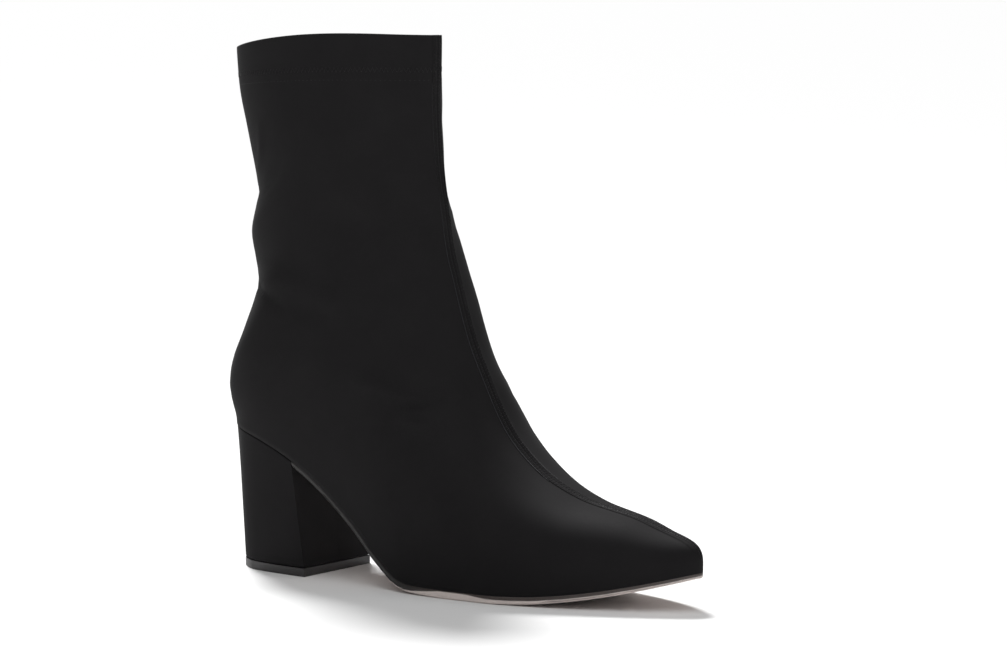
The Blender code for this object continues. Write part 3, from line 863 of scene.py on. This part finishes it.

# %% [markdown]
# ## Polyester thread
# The seams are sewn with black polyester, filaments twisted to a thread. Filament is
# smoother than knit, so it has a little gloss; the rest of its lighter line is a painted
# highlight, a colour a little lighter than the cloth's. Small glints come from the
# roughness. The glints could be modelled as twisted strands. On a thread of a third of a
# millimetre it is enough that noise makes the roughness rise and fall along it.

# %% Make the thread
THREAD_FIBRE = 0.5           # mm: the twist, drawn coarser to show
tree, shader = new_material("polyester_thread_black", {"IOR": 1.55, "Specular IOR Level": 0.12},
                            *threads)
place = add_node(tree, "TexCoord")
fibre = add_node(tree, "TexNoise", {"Scale": scale_of(THREAD_FIBRE), "Detail": 1.0},
                 {"Vector": place.outputs["Object"]})
# Colours a little lighter than the cloth's: a painted highlight for the thread's sheen.
tone = add_node(tree, "MixRGB", {"Color1": linear("#201f20"), "Color2": linear("#2c2b2c")},
                {"Fac": fibre.outputs["Fac"]})
gloss = add_node(tree, "MapRange", {"To Min": 0.3, "To Max": 0.45},
                 {"Value": fibre.outputs["Fac"]})
tree.links.new(tone.outputs["Color"], shader.inputs["Base Color"])
tree.links.new(gloss.outputs["Result"], shader.inputs["Roughness"])

# %% [markdown]
# ## Tricot
# The lining and the insole's cover are tricot, a thin warp knit, nearly black with a tinge
# of blue. It gives the eye a smooth, dull inside with a slight sheen and tiny dimples. A
# Voronoi pattern stands for its loops, because each of its cells is one round dimple, and
# colour and bump both follow them.

# %% Make the tricot
TRICOT_LOOP = 1.0            # mm: loops of under half a millimetre, drawn coarser to show
TRICOT_DIMPLE = 0.1 * MM
tree, shader = new_material("tricot_lining", {"IOR": 1.5, "Roughness": 0.6, "Sheen Weight": 0.1},
                            lining, insole)
place = add_node(tree, "TexCoord")
loops = add_node(tree, "TexVoronoi", {"Scale": scale_of(TRICOT_LOOP)},
                 {"Vector": place.outputs["Object"]})
tone = add_node(tree, "MixRGB", {"Color1": linear("#15161a"), "Color2": linear("#1e1f25")},
                {"Fac": loops.outputs["Distance"]})
bump = add_node(tree, "Bump", {"Strength": 0.3, "Distance": TRICOT_DIMPLE},
                {"Height": loops.outputs["Distance"]})
tree.links.new(tone.outputs["Color"], shader.inputs["Base Color"])
tree.links.new(bump.outputs["Normal"], shader.inputs["Normal"])

# %% [markdown]
# ## Sole resin with a painted edge
# The sole is moulded from pale resin, and its edge is painted brown. The edge's colour is
# made darker towards the waist, nearly black there. It gives the eye a satin, slightly
# speckled band under a dark one, with a line between them that wavers as a brush does. A
# second material on some of the faces would give that line the steps of the mesh. So one
# material holds both, and mixes them by the number that was kept on the points.

# %% Make the sole's resin and paint
RESIN_SPECK = 1.5            # mm: specks of the resin and its paint
BRUSH_WAVE = 6.0             # mm: how often the paint's line wavers
BRUSH_SHAKE = 0.1            # of the edge's height: how far it does
PAINT_BLUR = 0.06            # half the width of the line, as a share of that height
DARK_TO = -12.0 * MM         # the paint is darkest behind this
BROWN_FROM = 18.0 * MM       # and brown in front of this
tree, shader = new_material("sole_resin_painted", {"IOR": 1.5}, sole)
place = add_node(tree, "TexCoord")
line = add_node(tree, "Attribute", {"attribute_name": "paint"})
wobble = add_node(tree, "TexNoise", {"Scale": scale_of(BRUSH_WAVE)},
                  {"Vector": place.outputs["Object"]})
shift = add_node(tree, "Math", {"operation": "MULTIPLY_ADD",
                                1: BRUSH_SHAKE, 2: -BRUSH_SHAKE / 2.0},
                 {0: wobble.outputs["Fac"]})
moved = add_node(tree, "Math", {"operation": "ADD"},
                 {0: line.outputs["Fac"], 1: shift.outputs["Value"]})
painted = add_node(tree, "MapRange", {"From Min": -PAINT_BLUR, "From Max": PAINT_BLUR},
                   {"Value": moved.outputs["Value"]})
speck = add_node(tree, "TexNoise", {"Scale": scale_of(RESIN_SPECK), "Detail": 4.0},
                 {"Vector": place.outputs["Object"]})
resin = add_node(tree, "MixRGB", {"Color1": linear("#d9ccc7"), "Color2": linear("#e8ddd8")},
                 {"Fac": speck.outputs["Fac"]})
part = add_node(tree, "SeparateXYZ", {}, {"Vector": place.outputs["Object"]})
browner = add_node(tree, "MapRange", {"From Min": DARK_TO, "From Max": BROWN_FROM},
                   {"Value": part.outputs["X"]})
brown = add_node(tree, "MixRGB", {"Color1": linear("#3a3330"), "Color2": linear("#4d4441")},
                 {"Fac": speck.outputs["Fac"]})
paint_tone = add_node(tree, "MixRGB", {"Color1": linear("#1a1716")},
                      {"Fac": browner.outputs["Result"], "Color2": brown.outputs["Color"]})
tone = add_node(tree, "MixRGB", {}, {"Fac": painted.outputs["Result"],
                                     "Color1": resin.outputs["Color"],
                                     "Color2": paint_tone.outputs["Color"]})
gloss = add_node(tree, "MapRange", {"To Min": 0.4, "To Max": 0.55},
                 {"Value": speck.outputs["Fac"]})
tree.links.new(tone.outputs["Color"], shader.inputs["Base Color"])
tree.links.new(gloss.outputs["Result"], shader.inputs["Roughness"])

# %% [markdown]
# ## Polyurethane
# The top lift is cast polyurethane, dark grey and hard, because it takes every step. It
# gives the eye a satin grey, a little lighter than the cloth above it, with fine pores
# from the casting. Noise draws the pores in colour and bump at once.

# %% Make the lift's polyurethane
LIFT_PORE = 0.8              # mm: pores of a few tenths, drawn coarser to show
LIFT_PIT = 0.05 * MM
tree, shader = new_material("polyurethane_grey", {"IOR": 1.5, "Roughness": 0.5}, lift)
place = add_node(tree, "TexCoord")
pores = add_node(tree, "TexNoise", {"Scale": scale_of(LIFT_PORE), "Detail": 3.0},
                 {"Vector": place.outputs["Object"]})
tone = add_node(tree, "MixRGB", {"Color1": linear("#262425"), "Color2": linear("#363435")},
                {"Fac": pores.outputs["Fac"]})
bump = add_node(tree, "Bump", {"Strength": 0.3, "Distance": LIFT_PIT},
                {"Height": pores.outputs["Fac"]})
tree.links.new(tone.outputs["Color"], shader.inputs["Base Color"])
tree.links.new(bump.outputs["Normal"], shader.inputs["Normal"])

# %% [markdown]
# ## Floor and light
# The boot stands on a wide pale floor under a white sky, as in a light tent. A broad sun
# from behind, high up on the heel's side, whitens the floor and leaves a soft shadow
# under the forefoot. A large lamp overhead, towards the toe, lights the vamp and lets the
# folds of the outer side show. Fewer and larger lamps suit black cloth: every small one
# would leave a spot of its own.

# %% Lay the floor
FLOOR_SIZE = 400.0           # in metres, so that it fills the picture
bpy.ops.object.select_all(action="DESELECT")
bpy.ops.mesh.primitive_plane_add(size=FLOOR_SIZE, location=(0.0, 0.0, 0.0))
floor = bpy.context.active_object
floor.name = "floor"
new_material("white_paper", {"Base Color": linear("#e6e6e6"), "Roughness": 0.9}, floor)

# %% Hang the lights
SKY = 0.08                   # strength of the white sky
SUN = 4.4                    # watts on a square metre
SUN_SPREAD = math.radians(16.0)
SUN_FROM = Vector((-0.8, 0.6, 1.5))
ROOF = 14.0                  # watts
ROOF_SIZE = 1.6
ROOF_AT = Vector((0.3, -0.4, 1.3))
ROOF_AIM = Vector((0.0, 0.0, 0.1))


def lamp(kind, name, place, target, **settings):
    """A lamp at a place, turned to shine at a target."""
    bpy.ops.object.light_add(type=kind, location=place,
                             rotation=(target - place).to_track_quat("-Z", "Y").to_euler())
    light = bpy.context.active_object
    light.name = name
    for key, value in settings.items():
        setattr(light.data, key, value)


world = bpy.data.worlds.new("light_tent")
bpy.context.scene.world = world
world.use_nodes = True
sky = world.node_tree.nodes["Background"]
sky.inputs["Color"].default_value = linear("#ffffff")
sky.inputs["Strength"].default_value = SKY
lamp("SUN", "back_light", SUN_FROM, Vector(), energy=SUN, angle=SUN_SPREAD)
lamp("AREA", "roof_light", ROOF_AT, ROOF_AIM, energy=ROOF, size=ROOF_SIZE)
bpy.context.scene.view_settings.view_transform = "Standard"
print("sun of", SUN, "roof of", ROOF, "and a sky of", SKY)
